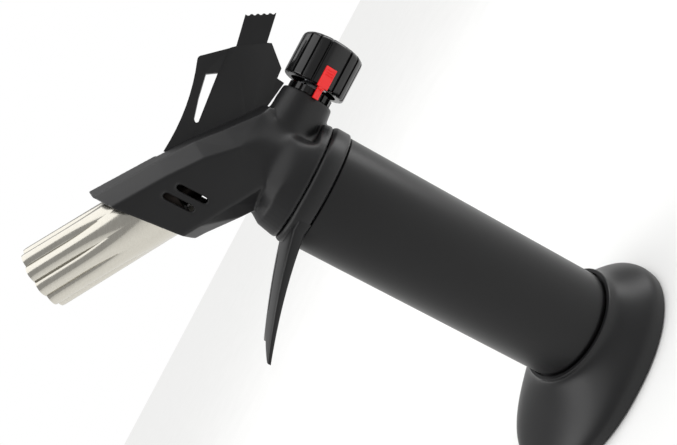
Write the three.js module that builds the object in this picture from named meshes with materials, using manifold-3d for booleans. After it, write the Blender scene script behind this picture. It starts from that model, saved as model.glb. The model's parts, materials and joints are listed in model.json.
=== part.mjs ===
// Culinary butane torch: fuel tank standing on a flared oval foot, finger guard collar, moulded
// head with an inclined burner, piezo press knob with flame dial and red lock, top hold-on lever.
// Millimetres. +Z runs up the tank, the burner points to -X, the knob to +X, and Y = 0 is the
// plane that the two head shells meet on. The origin is the centre of the oval foot, on the ground.
import * as THREE from 'three';
import { mergeVertices } from 'three/addons/utils/BufferGeometryUtils.js';
import Module from 'manifold-3d';

const wasm = await Module();
wasm.setup();

// ---------------------------------------------------------------- driving dimensions
const GAP = 0.3;              // clearance between pieces that touch
const ROUND = 40;             // facets round a large round piece
const SMALL_ROUND = 20;       // facets round a small one

const TANK_R = 21;            // tank sleeve, outer radius
const TANK_LENGTH = 104;      // from the foot's neck to the collar seam
const SLEEVE_WALL = 0.8;
const SLEEVE_FILLET = 3.2;    // rounding of the sleeve's lower edge
const RESERVOIR_WALL = 1.6;
const RESERVOIR_FLOOR = 5;

const FOOT_HEIGHT = 18;
const FOOT_LENGTH = 85;       // along X
const FOOT_WIDTH = 60;        // along Y
const FOOT_BACK = 32;         // from the tank's axis to the foot's back edge
const FOOT_WALL = 2.2;
const PAD_THICKNESS = 2;
const PAD_PROUD = 0.6;        // how far the pad stands below the foot's rim
const NECK_LIP = 1.4;         // thickness of the foot's neck round the tank

const BAND_HEIGHT = 6.5;      // collar band of the finger guard
const BAND_PROUD = 0.9;       // how far the band stands out from the tank
const GUARD_REACH = 58;       // from the tank's axis to the guard's tips
const GUARD_DROP = 14.5;      // how far the tips hang below the band's top
const GUARD_WIDTH = 31;       // across the tips
const GUARD_NOTCH = 5;        // depth of the V in the end

const BURNER_TILT = 30;       // degrees above the horizontal
const BURNER_RISE = 21.3;     // from the head's base to where the burner's axis meets the tank's
const NOZZLE_R = 11.1;
const NOZZLE_WALL = 0.7;
const NOZZLE_START = 28;      // along the burner's axis
const NOZZLE_END = 78.5;
const NOZZLE_LOBES = 10;
const NOZZLE_FLUTE = 1.5;     // depth of the flutes at the mouth

const HEAD_WALL = 2.2;
const HOOD_HALF_WIDTH = 15.5;
const VISOR_START = 40.2;     // where the hood's raked front edge crosses the burner's axis
const VISOR_RAKE = 0.7;       // forward travel of that edge for each millimetre of height
const HEAD_BACK = 16.6;       // back wall of the head, behind the tank's axis
const SHOULDER_PROUD = 0.3;   // how far the shoulder stands out from the tank
const DOME_HEIGHT = 17;       // rounded shoulder above the collar
const DOME_SHELF = 3.4;       // height of the cut-back shoulder under the stub

const KNOB_RISE = 12.1;       // from the head's base to the press and dial axis
const KNOB_R = 11.3;
const KNOB_START = 30;
const KNOB_END = 46;
const KNOB_PITCH = 20;        // degrees between ribs
const KNOB_PANEL = 10;        // degrees that the plain panel sits below the horizontal
const PRESS_TRAVEL = 3;
const STUB_END = 26;
const STUB_R_END = 9;
const STUB_R_ROOT = 10.3;
const SHAFT_R = 3;
const LOCK_TRAVEL = 2.5;
const LOCK_WIDTH = 3.8;
const LOCK_TONGUE = 2;        // width of the tongue that bridges the gap

const LEVER_THICKNESS = 3;    // of the main plate
const LEVER_STRIP = 2.2;      // of the slotted strip and the tab
const LEVER_CLEARANCE = 0.4;
const LEVER_X = 6;            // pivot of the hold-on lever
const LEVER_RISE = 27.9;      // from the head's base to the pivot
const LEVER_PIN_R = 1.4;

const FILL_R = 4.2;           // bore for the fill valve in the reservoir's floor
const FILL_HOLE_R = 8;        // opening for the refill nozzle in the foot
const OUTLET_R = 5.5;         // bore for the outlet valve

// ---------------------------------------------------------------- places worked out from them
const TANK_BASE = FOOT_HEIGHT - 1.7;
const SEAM_Z = FOOT_HEIGHT + TANK_LENGTH;
const BAND_BASE = SEAM_Z + GAP;
const BAND_TOP = BAND_BASE + BAND_HEIGHT;
const HEAD_BASE = BAND_TOP + GAP;
const BAND_R = TANK_R + BAND_PROUD;
const CORE_R = TANK_R - 2.4;
const RESERVOIR_TOP = SEAM_Z - 8;
const FLOOR_TOP = TANK_BASE - GAP;
const FLOOR_BASE = FLOOR_TOP - FOOT_WALL;
const FOOT_CENTRE = FOOT_BACK - FOOT_LENGTH / 2;
const TILT = THREE.MathUtils.degToRad(BURNER_TILT);
const BURNER_Z = HEAD_BASE + BURNER_RISE;
const KNOB_Z = HEAD_BASE + KNOB_RISE;
const LEVER_Z = HEAD_BASE + LEVER_RISE;
const HIGH = BURNER_Z + 80;   // above everything, for cuts that run out at the top

// ---------------------------------------------------------------- finishes
const finish = (color, roughness, metalness) => () =>
  new THREE.MeshStandardMaterial({ color, roughness, metalness });
const satinBlack = finish(0x2b2b2c, 0.5, 0);
const glossBlack = finish(0x161617, 0.22, 0);
const tankBlack = finish(0x29292a, 0.38, 0.3);
const darkRubber = finish(0x1b1b1b, 0.85, 0);
const stainless = finish(0xd4d0c6, 0.18, 1);
const steel = finish(0xb9bcc0, 0.35, 1);
const blackened = finish(0x2e2a27, 0.5, 1);
const brass = finish(0xc2a25a, 0.32, 1);
const redPlastic = finish(0xff1f1f, 0.35, 0);
const greyPlastic = finish(0x8c8f92, 0.5, 0);
const ceramic = finish(0xece7dc, 0.6, 0);

// ---------------------------------------------------------------- solids
// A geometry's triangles are turned over if they enclose a negative volume.
function outward(geometry) {
  const g = geometry.index ? geometry.toNonIndexed() : geometry;
  const p = g.attributes.position.array;
  const at = i => new THREE.Vector3(p[i], p[i + 1], p[i + 2]);
  let volume = 0;
  for (let i = 0; i < p.length; i += 9) volume += at(i).dot(at(i + 3).cross(at(i + 6)));
  if (volume < 0) {
    for (let i = 0; i < p.length; i += 9) {
      for (let k = 0; k < 3; k += 1) [p[i + 3 + k], p[i + 6 + k]] = [p[i + 6 + k], p[i + 3 + k]];
    }
  }
  const clean = new THREE.BufferGeometry();
  clean.setAttribute('position', new THREE.Float32BufferAttribute(p, 3));
  return clean;
}

function toSolid(geometry) {
  const g = mergeVertices(outward(geometry), 1e-4);
  return new wasm.Manifold(new wasm.Mesh({
    numProp: 3,
    vertProperties: new Float32Array(g.attributes.position.array),
    triVerts: new Uint32Array(g.index.array),
  }));
}

function toGeometry(solid) {
  const mesh = solid.getMesh();
  const g = new THREE.BufferGeometry();
  g.setAttribute('position', new THREE.BufferAttribute(mesh.vertProperties, 3));
  g.setIndex(new THREE.BufferAttribute(mesh.triVerts, 1));
  return g;
}

const union = (first, ...rest) => rest.reduce((a, b) => a.add(toSolid(b)), toSolid(first));
const cut = (first, ...rest) =>
  toGeometry(rest.reduce((a, b) => a.subtract(b.isBufferGeometry ? toSolid(b) : b),
    first.isBufferGeometry ? toSolid(first) : first));

// A closed skin through equal rings of points, each end closed by a fan to its middle.
function loft(rings) {
  const points = [];
  const middle = ring => ring.reduce((a, b) => a.clone().add(b)).multiplyScalar(1 / ring.length);
  const tri = (a, b, c) => points.push(a, b, c);
  rings.slice(1).forEach((ring, r) => {
    const last = rings[r];
    ring.forEach((b, i) => {
      const j = (i + 1) % ring.length;
      tri(last[i], last[j], ring[j]);
      tri(last[i], ring[j], b);
    });
  });
  [rings[0], rings.at(-1)].forEach((ring, end) => {
    const m = middle(ring);
    ring.forEach((a, i) => {
      const b = ring[(i + 1) % ring.length];
      if (end) tri(m, a, b);
      else tri(m, b, a);
    });
  });
  return new THREE.BufferGeometry().setFromPoints(points);
}

const box = (x0, x1, y0, y1, z0, z1) =>
  new THREE.BoxGeometry(x1 - x0, y1 - y0, z1 - z0)
    .translate((x0 + x1) / 2, (y0 + y1) / 2, (z0 + z1) / 2);

// A turned piece about Z; its profile is [radius, height] points, closed on itself or on the axis.
function turned(profile, facets = ROUND) {
  const onAxis = profile[0][0] === 0;
  const points = (onAxis ? profile : [...profile, profile[0]]).map(p => new THREE.Vector2(...p));
  return new THREE.LatheGeometry(points, facets).rotateX(Math.PI / 2);
}
const rod = (r, z0, z1, facets = SMALL_ROUND) =>
  new THREE.CylinderGeometry(r, r, z1 - z0, facets).rotateX(Math.PI / 2)
    .translate(0, 0, (z0 + z1) / 2);
const tube = (inner, outer, z0, z1, facets = SMALL_ROUND) =>
  turned([[inner, z0], [outer, z0], [outer, z1], [inner, z1]], facets);

// Pieces drawn about Z are laid along the burner (Z forward) or along the knob's axis (Z to +X).
const alongBurner = g => g.rotateY(-(Math.PI / 2 - TILT)).translate(0, 0, BURNER_Z);
const alongKnob = g => g.rotateY(Math.PI / 2).translate(0, 0, KNOB_Z);
const alongY = g => g.rotateX(-Math.PI / 2);

// A coil spring about Z with flat closed ends left off.
class Helix extends THREE.Curve {
  constructor(radius, z0, z1, turns) {
    super();
    Object.assign(this, { radius, z0, z1, turns });
  }
  getPoint(t, target = new THREE.Vector3()) {
    const a = 2 * Math.PI * this.turns * t;
    return target.set(this.radius * Math.cos(a), this.radius * Math.sin(a),
      THREE.MathUtils.lerp(this.z0, this.z1, t));
  }
}
function swept(path, radius, steps, facets = 8) {
  const section = new THREE.Shape().absarc(0, 0, radius, 0, 2 * Math.PI);
  return new THREE.ExtrudeGeometry(section, {
    steps, extrudePath: path, bevelEnabled: false, curveSegments: facets / 2,
  });
}
const spring = (radius, wire, z0, z1, turns) =>
  swept(new Helix(radius, z0 + wire, z1 - wire, turns), wire, Math.round(turns * 10), 6);

const screw = (headR, headH, shankR, length) =>
  turned([[0, 0], [headR, 0], [headR, headH], [shankR, headH], [shankR, headH + length],
    [0, headH + length + shankR]], 12);

const pieces = [];
function piece(name, geometry, material) {
  const mesh = new THREE.Mesh(outward(geometry), material());
  mesh.name = name;
  pieces.push(mesh);
}

// ---------------------------------------------------------------- foot
// The foot's outline is a superellipse that slides and swells from the tank's round neck to the
// long oval rim: share 0 is the neck, share 1 the widest line, inset is taken off all round.
function footRing(z, share, inset = 0) {
  const neck = TANK_R + GAP + NECK_LIP + 0.2;
  const halfLength = THREE.MathUtils.lerp(neck, FOOT_LENGTH / 2, share) - inset;
  const halfWidth = THREE.MathUtils.lerp(neck, FOOT_WIDTH / 2, share) - inset;
  const centre = FOOT_CENTRE * share;
  const power = 2 / THREE.MathUtils.lerp(2, 2.2, share);
  return Array.from({ length: ROUND }, (_, i) => {
    const a = (2 * Math.PI * i) / ROUND;
    const round = v => Math.sign(v) * Math.abs(v) ** power;
    return new THREE.Vector3(centre + halfLength * round(Math.cos(a)),
      halfWidth * round(Math.sin(a)), z);
  });
}
// Heights as shares of the foot's own height, with the share of the flare reached there.
const footFlare = [[1, 0], [0.9, 0.01], [0.82, 0.07], [0.74, 0.18], [0.66, 0.33], [0.58, 0.5],
  [0.5, 0.66], [0.44, 0.77], [0.36, 0.87], [0.27, 0.95], [0.17, 1], [0.09, 0.995], [0, 0.965]];
const footZ = h => THREE.MathUtils.lerp(PAD_PROUD, FOOT_HEIGHT, h);
// The share of the flare at any height, read off between the rows of the table.
function footShare(z) {
  const row = footFlare.findIndex(([h]) => footZ(h) <= z);
  const [[h1, s1], [h0, s0]] = [footFlare[row - 1], footFlare[row]];
  return THREE.MathUtils.mapLinear(z, footZ(h0), footZ(h1), s0, s1);
}
const footOuter = loft(footFlare.map(([h, share]) => footRing(footZ(h), share)));
const hollowHeights = [FLOOR_BASE,
  ...footFlare.map(([h]) => footZ(h)).filter(z => z < FLOOR_BASE - 0.2 && z > PAD_PROUD)];
const footHollow = loft([
  ...hollowHeights.map(z => footRing(z, footShare(z), FOOT_WALL)),
  footRing(PAD_PROUD - 1, footFlare.at(-1)[1], FOOT_WALL),
]);
const neckBore = rod(TANK_R + GAP + 0.2, FLOOR_TOP, FOOT_HEIGHT + 1, ROUND);
const screwX = TANK_R * 0.62;
const baseScrewHoles = [-1, 1].map(side =>
  rod(1.6 + GAP, FLOOR_BASE - 5, FLOOR_TOP + 1, 12).translate(side * screwX, 0, 0));
const portWall = tube(FILL_HOLE_R - 0.5, FILL_HOLE_R + 1.4, PAD_THICKNESS + GAP, FLOOR_BASE + 0.5, 24);
const footShell = toSolid(footOuter).subtract(toSolid(footHollow)).add(toSolid(portWall));
piece('base', cut(footShell, neckBore, rod(FILL_HOLE_R, 0, FLOOR_TOP + 1, 24),
  ...baseScrewHoles), satinBlack);

const padRings = [0, PAD_THICKNESS].map(z =>
  footRing(z, 0.965, FOOT_WALL + GAP + 0.4));
piece('foot_pad', cut(loft(padRings), rod(FILL_HOLE_R, -1, PAD_THICKNESS + 1, 24)), darkRubber);

// ---------------------------------------------------------------- tank
const filletPoint = (r, turn) => [TANK_R - SLEEVE_FILLET + r * Math.cos(turn),
  TANK_BASE + SLEEVE_FILLET - r * Math.sin(turn)];
const filletTurns = [0, 0.25, 0.5, 0.75, 1].map(t => (t * Math.PI) / 2);
const sleeve = turned([
  [TANK_R, SEAM_Z],
  ...filletTurns.map(t => filletPoint(SLEEVE_FILLET, t)),
  [FILL_HOLE_R, TANK_BASE],
  [FILL_HOLE_R, TANK_BASE + SLEEVE_WALL],
  ...filletTurns.toReversed().map(t => filletPoint(SLEEVE_FILLET - SLEEVE_WALL, t)),
  [TANK_R - SLEEVE_WALL, SEAM_Z],
], 48);
const sleeveHoles = [-1, 1].map(side =>
  rod(1.6 + GAP, TANK_BASE - 1, TANK_BASE + 2, 12).translate(side * screwX, 0, 0));
piece('tank_sleeve', cut(sleeve, ...sleeveHoles), tankBlack);

const reservoirR = TANK_R - SLEEVE_WALL - GAP;
const reservoirBase = TANK_BASE + SLEEVE_WALL + GAP;
const reservoir = turned([
  [FILL_R, reservoirBase], [reservoirR - 3, reservoirBase], [reservoirR, reservoirBase + 3],
  [reservoirR, RESERVOIR_TOP], [OUTLET_R, RESERVOIR_TOP],
  [OUTLET_R, RESERVOIR_TOP - RESERVOIR_WALL],
  [reservoirR - RESERVOIR_WALL, RESERVOIR_TOP - RESERVOIR_WALL],
  [reservoirR - RESERVOIR_WALL, reservoirBase + RESERVOIR_FLOOR],
  [FILL_R, reservoirBase + RESERVOIR_FLOOR],
], 36);
const screwBores = [-1, 1].map(side =>
  rod(1.6 + 0.15, reservoirBase - 1, reservoirBase + RESERVOIR_FLOOR - 1, 12)
    .translate(side * screwX, 0, 0));
piece('fuel_reservoir', cut(reservoir, ...screwBores), greyPlastic);

const screwHead = 2;
for (const side of [-1, 1]) {
  const length = reservoirBase + RESERVOIR_FLOOR - 3.5 - FLOOR_BASE;
  piece(side < 0 ? 'base_screw_1' : 'base_screw_2',
    screw(3, screwHead, 1.5, length).translate(side * screwX, 0, FLOOR_BASE - GAP - screwHead),
    steel);
}

// ---------------------------------------------------------------- fill valve
const valveTop = reservoirBase + RESERVOIR_FLOOR + 5;
const valveFlange = reservoirBase - GAP - 1.2;
const valveMouth = valveFlange - 8.5;
piece('fill_valve_body', turned([
  [1.9, valveMouth], [3.4, valveMouth], [3.4, valveFlange - 2], [FILL_R + 1.6, valveFlange - 2],
  [FILL_R + 1.6, valveFlange], [FILL_R - GAP, valveFlange], [FILL_R - GAP, valveTop],
  [1.5, valveTop], [1.5, valveTop - 1], [2.9, valveTop - 1], [2.9, valveFlange - 1],
  [1.9, valveFlange - 1],
], SMALL_ROUND), brass);
piece('fill_valve_seal', tube(FILL_R - GAP + 0.2, FILL_R + 1.6, valveFlange + 0.15,
  reservoirBase - 0.15), darkRubber);
const stemCollar = valveFlange + 1;
piece('fill_valve_stem', turned([
  [0, valveMouth - 1.5], [1.3, valveMouth - 1.5], [1.3, stemCollar - 1.2],
  [2.5, stemCollar - 1.2], [2.5, stemCollar], [1.1, stemCollar], [1.1, valveTop + 2],
  [0, valveTop + 2],
], 16), brass);
piece('fill_valve_spring', spring(2, 0.3, stemCollar + 0.3, valveTop - 1.3, 5), steel);

// ---------------------------------------------------------------- neck core and outlet valve
const coreBase = RESERVOIR_TOP + GAP;
const coreTop = HEAD_BASE + DOME_SHELF - HEAD_WALL - GAP;
const ROCKER_X = 5;           // pivot of the valve rocker
const ROCKER_Z = SEAM_Z + 2;
const ROCKER_PIN_R = 1;
const core = turned([
  [OUTLET_R, coreBase], [TANK_R - SLEEVE_WALL - GAP, coreBase],
  [TANK_R - SLEEVE_WALL - GAP, SEAM_Z - 1.4], [CORE_R, SEAM_Z - 1.4], [CORE_R, coreTop],
  [CORE_R - 1.8, coreTop], [CORE_R - 1.8, coreBase + 2.4], [OUTLET_R, coreBase + 2.4],
], 36);
piece('neck_core', cut(core, alongY(rod(ROCKER_PIN_R + 0.05, -TANK_R, TANK_R, 16))
  .translate(ROCKER_X, 0, ROCKER_Z)), greyPlastic);
piece('neck_seal', tube(CORE_R + GAP, TANK_R - SLEEVE_WALL - GAP, SEAM_Z - 1.1, SEAM_Z - 0.1, 36),
  darkRubber);
const outletTop = coreBase + 5.2;
piece('outlet_valve_body', turned([
  [1.4, RESERVOIR_TOP - 9], [3.2, RESERVOIR_TOP - 9], [3.2, RESERVOIR_TOP - 5],
  [OUTLET_R - GAP, RESERVOIR_TOP - 5], [OUTLET_R - GAP, coreBase + 2.7],
  [OUTLET_R + 1.5, coreBase + 2.7], [OUTLET_R + 1.5, coreBase + 4.5], [3.2, coreBase + 4.5],
  [3.2, outletTop], [1.4, outletTop],
], SMALL_ROUND), brass);
piece('feed_tube', tube(1.2, 2.4, valveTop + 7, RESERVOIR_TOP - 9 - GAP, 12),
  greyPlastic);
const stemHead = outletTop + 1.4;
piece('outlet_valve_stem', turned([
  [0, RESERVOIR_TOP - 5], [1.1, RESERVOIR_TOP - 5], [1.1, stemHead], [2.4, stemHead],
  [2.4, stemHead + 1.2], [0, stemHead + 1.2],
], 16), brass);

// ---------------------------------------------------------------- finger guard
// The bill runs out from the collar band and down; its plan narrows from the band to the tips
// and its underside rises to meet the top, with the middle arched a little above the edges.
const billSteps = 7;
const billRing = t => {
  const x = THREE.MathUtils.lerp(-TANK_R * 0.55, -GUARD_REACH, t);
  const half = THREE.MathUtils.lerp(TANK_R * 0.88, GUARD_WIDTH / 2, Math.sin((t * Math.PI) / 2));
  const run = Math.max(0, (x + TANK_R * 0.72) / (TANK_R * 0.72 - GUARD_REACH));
  const top = BAND_TOP - 0.6 - GUARD_DROP * (0.75 * run + 0.25 * run * run);
  const thick = THREE.MathUtils.lerp(BAND_HEIGHT - 0.6, 1.7, t ** 0.8);
  const arch = 1.3 * (1 - 0.6 * t);
  const across = [-1, -0.75, -0.5, -0.25, 0, 0.25, 0.5, 0.75, 1];
  const line = (lift, list) => list.map(c =>
    new THREE.Vector3(x, half * c, top + lift - arch * c * c));
  return [...line(0, across), ...line(-thick, across.toReversed())];
};
const bill = loft(Array.from({ length: billSteps + 1 }, (_, i) => billRing(i / billSteps)));
const band = turned([
  [CORE_R + GAP, BAND_BASE], [BAND_R - 0.7, BAND_BASE], [BAND_R, BAND_BASE + 0.8],
  [BAND_R, BAND_TOP - 1.6], [BAND_R - 0.6, BAND_TOP - 0.6], [BAND_R - 0.8, BAND_TOP],
  [CORE_R + GAP, BAND_TOP],
], 64);
const prism = (outline, z0, z1) => new THREE.ExtrudeGeometry(
  new THREE.Shape(outline.map(p => new THREE.Vector2(...p))),
  { depth: z1 - z0, bevelEnabled: false }).translate(0, 0, z0);
const TIP_WIDTH = 1.2;        // left at each tip beside the V
const veeHalf = (GUARD_WIDTH / 2 - TIP_WIDTH) * (GUARD_NOTCH + 1) / GUARD_NOTCH;
const notch = prism([[-GUARD_REACH - 1, -veeHalf], [-GUARD_REACH + GUARD_NOTCH, 0],
  [-GUARD_REACH - 1, veeHalf]], BAND_BASE - 30, BAND_TOP + 5);
const guardSlot = box(-GUARD_REACH + 14, -TANK_R - 5, -1.1, 1.1, BAND_BASE - 30, BAND_TOP + 5);
piece('finger_guard', cut(union(band, bill), rod(CORE_R + GAP, BAND_BASE - 30, BAND_TOP + 5, 64),
  rod(TANK_R + GAP, BAND_BASE - 30, BAND_BASE, 64), notch, guardSlot), satinBlack);

// ---------------------------------------------------------------- head shells
// The hood's section is drawn square to the burner's axis: [half width, height above the axis].
// Each column runs crest, ridge, chamfer foot, side foot, keel; inset draws the hollow.
const hoodStations = [
  { s: -24, crest: 10.4, ridge: 7.2, chamfer: -1.5, keel: -18 },
  { s: -10, crest: 11.5, ridge: 8.1, chamfer: -1, keel: -18 },
  { s: 2, crest: 12.8, ridge: 9.8, chamfer: 2.4, keel: -18 },
  { s: 13, crest: 14, ridge: 11.6, chamfer: 5.2, keel: -17 },
  { s: 26, crest: 15.1, ridge: 12.3, chamfer: 6.5, keel: -15.2 },
  { s: 56, crest: 16.5, ridge: 13.6, chamfer: 7.6, keel: -13.2 },
];
const SIDE_FOOT = -12;
const RIDGE_HALF = 9;
const KEEL_HALF = 8;
function hoodRing({ s, crest, ridge, chamfer, keel }, inset) {
  const right = [
    [0, crest - inset], [RIDGE_HALF - inset * 0.5, ridge - inset],
    [HOOD_HALF_WIDTH - inset, chamfer - inset * 0.3],
    [HOOD_HALF_WIDTH - inset, SIDE_FOOT + inset * 0.4], [KEEL_HALF - inset * 0.4, keel + inset],
  ];
  const left = right.slice(1).toReversed().map(([w, v]) => [-w, v]);
  return [...right, ...left].map(([w, v]) => new THREE.Vector3(
    -s * Math.cos(TILT) + v * Math.sin(TILT), w,
    BURNER_Z + s * Math.sin(TILT) + v * Math.cos(TILT)));
}
const hood = inset => loft(hoodStations.map(station => hoodRing(station, inset)));

// The shoulder over the collar: a dome, cut back to a low shelf behind the head's back wall.
const domeProfile = inset => {
  const r = TANK_R + SHOULDER_PROUD - inset;
  const top = HEAD_BASE + DOME_HEIGHT - inset;
  const arc = [0.25, 0.45, 0.62, 0.78, 0.9, 1].map(t => {
    const a = (t * Math.PI) / 2;
    return [r * Math.cos(a) ** 0.8, THREE.MathUtils.lerp(HEAD_BASE + 1, top, Math.sin(a))];
  });
  arc[arc.length - 1][0] = 0;
  const foot = HEAD_BASE - (inset ? 1 : 0);
  return [[0, foot], [r, foot], [r, HEAD_BASE + 1], ...arc];
};
const dome = inset => turned(domeProfile(inset), 56);
const shelfZ = HEAD_BASE + DOME_SHELF;
const behind = inset => box(HEAD_BACK - 5 - inset, TANK_R + 5, -TANK_R - 5, TANK_R + 5,
  shelfZ - inset, HEAD_BASE + DOME_HEIGHT + 5);
const below = box(-60, 60, -40, 40, HEAD_BASE - 40, HEAD_BASE);
const farBack = inset => box(HEAD_BACK - inset, 70, -40, 40, HEAD_BASE - 5, BURNER_Z + 40);
const stub = alongKnob(turned([[0, HEAD_BACK - 6], [STUB_R_ROOT + 0.4, HEAD_BACK - 6],
  [STUB_R_ROOT, HEAD_BACK], [STUB_R_END + 0.3, STUB_END - 0.6], [STUB_R_END, STUB_END],
  [0, STUB_END]], 40));
const visor = (() => {
  const edge = v => [VISOR_START + VISOR_RAKE * v, v];
  const outline = [edge(-30), edge(30), [100, 30], [100, -30]].map(([s, v]) =>
    new THREE.Vector2(-s * Math.cos(TILT) + v * Math.sin(TILT),
      BURNER_Z + s * Math.sin(TILT) + v * Math.cos(TILT)));
  return new THREE.ExtrudeGeometry(new THREE.Shape(outline), { depth: 60, bevelEnabled: false })
    .rotateX(Math.PI / 2).translate(0, 30, 0);
})();
// The hood's two back corners are cut away, from the ridge's end out to the side wall.
const CORNER_X = 13.2;        // where the cut starts on the ridge, and where it leaves the side
const CORNER_SIDE_X = 4;
const corners = inset => [-1, 1].map(side => {
  const run = new THREE.Vector2(CORNER_X - CORNER_SIDE_X, HOOD_HALF_WIDTH - RIDGE_HALF);
  const turn = Math.atan2(run.y, run.x);
  const shape = box(-40, 40, 0, 40, KNOB_Z - 20, HIGH).rotateZ(-turn)
    .translate(CORNER_X - inset * Math.sin(turn), RIDGE_HALF - inset * Math.cos(turn), 0);
  return toSolid(side > 0 ? shape : shape.scale(1, -1, 1));
});
const hoodBody = inset => corners(inset).reduce((a, b) => a.subtract(b),
  toSolid(hood(inset)).subtract(toSolid(farBack(inset))));
const headOuter = hoodBody(0)
  .add(toSolid(dome(0)).subtract(toSolid(behind(0))))
  .add(toSolid(stub)).subtract(toSolid(below)).subtract(toSolid(visor));
const headHollow = hoodBody(HEAD_WALL)
  .add(toSolid(dome(HEAD_WALL)).subtract(toSolid(behind(HEAD_WALL))))
  .subtract(toSolid(box(-60, 60, -40, 40, HEAD_BASE - 40, HEAD_BASE - 0.5)));
const stubBore = alongKnob(rod(STUB_R_END - HEAD_WALL, HEAD_BACK - 8, STUB_END - 2, 32));
const shaftBore = alongKnob(rod(SHAFT_R + GAP, HEAD_BACK - 8, STUB_END + 1, 24));
const leverGap = LEVER_THICKNESS / 2 + LEVER_CLEARANCE;
const leverSlot = box(-15.4, STUB_END + 5, -leverGap, leverGap, KNOB_Z + STUB_R_ROOT - 0.6, HIGH);

// Two upright vent slots through each side wall, stepping up with the burner.
const VENT_X = [-20.3, -24.6];
const VENT_DROP = 2.7;        // of a slot's middle below the burner's axis
const VENT_HALF = [1, 5.3];   // half width, half height, with round ends
const vent = () => {
  const [w, h] = VENT_HALF;
  const outline = new THREE.Shape().absarc(0, h - w, w, 0, Math.PI)
    .absarc(0, w - h, w, Math.PI, 2 * Math.PI);
  return new THREE.ExtrudeGeometry(outline, { depth: 6, bevelEnabled: false, curveSegments: 5 })
    .translate(0, 0, -3).rotateX(Math.PI / 2);
};
const ventSlots = () => VENT_X.flatMap(x => {
  const middle = BURNER_Z - x * Math.tan(TILT) - VENT_DROP;
  return [-1, 1].map(side => vent().translate(x, side * HOOD_HALF_WIDTH, middle));
});

// Two screws along Y pull the shells together, through a boss in the right shell into the left.
const onBurner = (s, v) => [-s * Math.cos(TILT) + v * Math.sin(TILT),
  BURNER_Z + s * Math.sin(TILT) + v * Math.cos(TILT)];
const BOSS_R = 4.4;           // round a sunk screw head
const screwSpots = [onBurner(14, -12.5), [-12, coreTop + GAP + BOSS_R]];
const SCREW_SEAT = 7;         // depth of the boss under a screw's head
const atSpots = make => screwSpots.map(([x, z]) => make().translate(x, 0, z));

// Each shell is one side of the head, with a lug for the lever's pin and its screw bosses inside.
function headShell(side) {
  const far = side < 0 ? box(-80, 60, -GAP / 2, 40, HEAD_BASE - 5, HIGH)
    : box(-80, 60, -40, GAP / 2, HEAD_BASE - 5, HIGH);
  const lug = union(alongY(rod(LEVER_PIN_R + 2, -leverGap - 3.6, leverGap + 3.6, 20)),
    box(-LEVER_PIN_R - 2, LEVER_PIN_R + 2, -leverGap - 3.6, leverGap + 3.6, 0, 5.4))
    .translate([LEVER_X, 0, LEVER_Z]);
  const pinHole = alongY(rod(LEVER_PIN_R + 0.05, -leverGap - 2.6, leverGap + 2.6, 20))
    .translate(LEVER_X, 0, LEVER_Z);
  const bosses = [...atSpots(() => alongY(rod(2.6, -25, SCREW_SEAT, 16))),
    ...atSpots(() => alongY(rod(BOSS_R, SCREW_SEAT - 2, 25, 20)))].map(toSolid);
  const bores = side < 0 ? atSpots(() => alongY(rod(1.5, -6, 1, 12)))
    : [...atSpots(() => alongY(rod(1.6, -1, SCREW_SEAT + 1, 12))),
      ...atSpots(() => alongY(rod(3.1, SCREW_SEAT, 30, 16)))];
  const shell = headOuter.subtract(headHollow).subtract(toSolid(stubBore))
    .add(bosses.reduce((a, b) => a.add(b), lug).intersect(headOuter));
  return cut(shell, pinHole, shaftBore, leverSlot, far, ...bores, ...ventSlots());
}
piece('head_shell_left', headShell(-1), satinBlack);
piece('head_shell_right', headShell(1), satinBlack);
screwSpots.forEach(([x, z], i) => piece(`head_screw_${i + 1}`,
  alongY(screw(2.7, 2, 1.2, 11)).rotateX(Math.PI).translate(x, SCREW_SEAT + GAP + 2, z), steel));

// ---------------------------------------------------------------- burner
// The nozzle is a tube whose lower end is round and whose mouth is drawn into flutes.
function nozzleRing(s, wall, flute) {
  return Array.from({ length: NOZZLE_LOBES * 6 }, (_, i) => {
    const a = (2 * Math.PI * i) / (NOZZLE_LOBES * 6);
    const lobe = Math.abs(Math.cos((NOZZLE_LOBES * a) / 2)) ** 0.8;
    const r = NOZZLE_R - wall - flute * NOZZLE_FLUTE * (1 - lobe);
    return new THREE.Vector3(r * Math.cos(a), r * Math.sin(a), s);
  });
}
const DISC_S = NOZZLE_START + 8;
const ROUND_END = DISC_S + 3.5;  // the tube stays round as far as the flame disc
const fluteAt = share => THREE.MathUtils.lerp(ROUND_END, NOZZLE_END, share);
const fluteGrowth = [[NOZZLE_START, 0], [ROUND_END, 0], [fluteAt(0.17), 0.5], [fluteAt(0.48), 0.85],
  [NOZZLE_END, 1]];
const nozzleOuter = loft(fluteGrowth.map(([s, f]) => nozzleRing(s, 0, f)));
const nozzleInner = loft(fluteGrowth.map(([s, f], i) =>
  nozzleRing(s + (i === 0 ? -1 : 0) + (i === fluteGrowth.length - 1 ? 1 : 0), NOZZLE_WALL, f)));
piece('nozzle_tube', alongBurner(cut(nozzleOuter, nozzleInner)), stainless);

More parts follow.
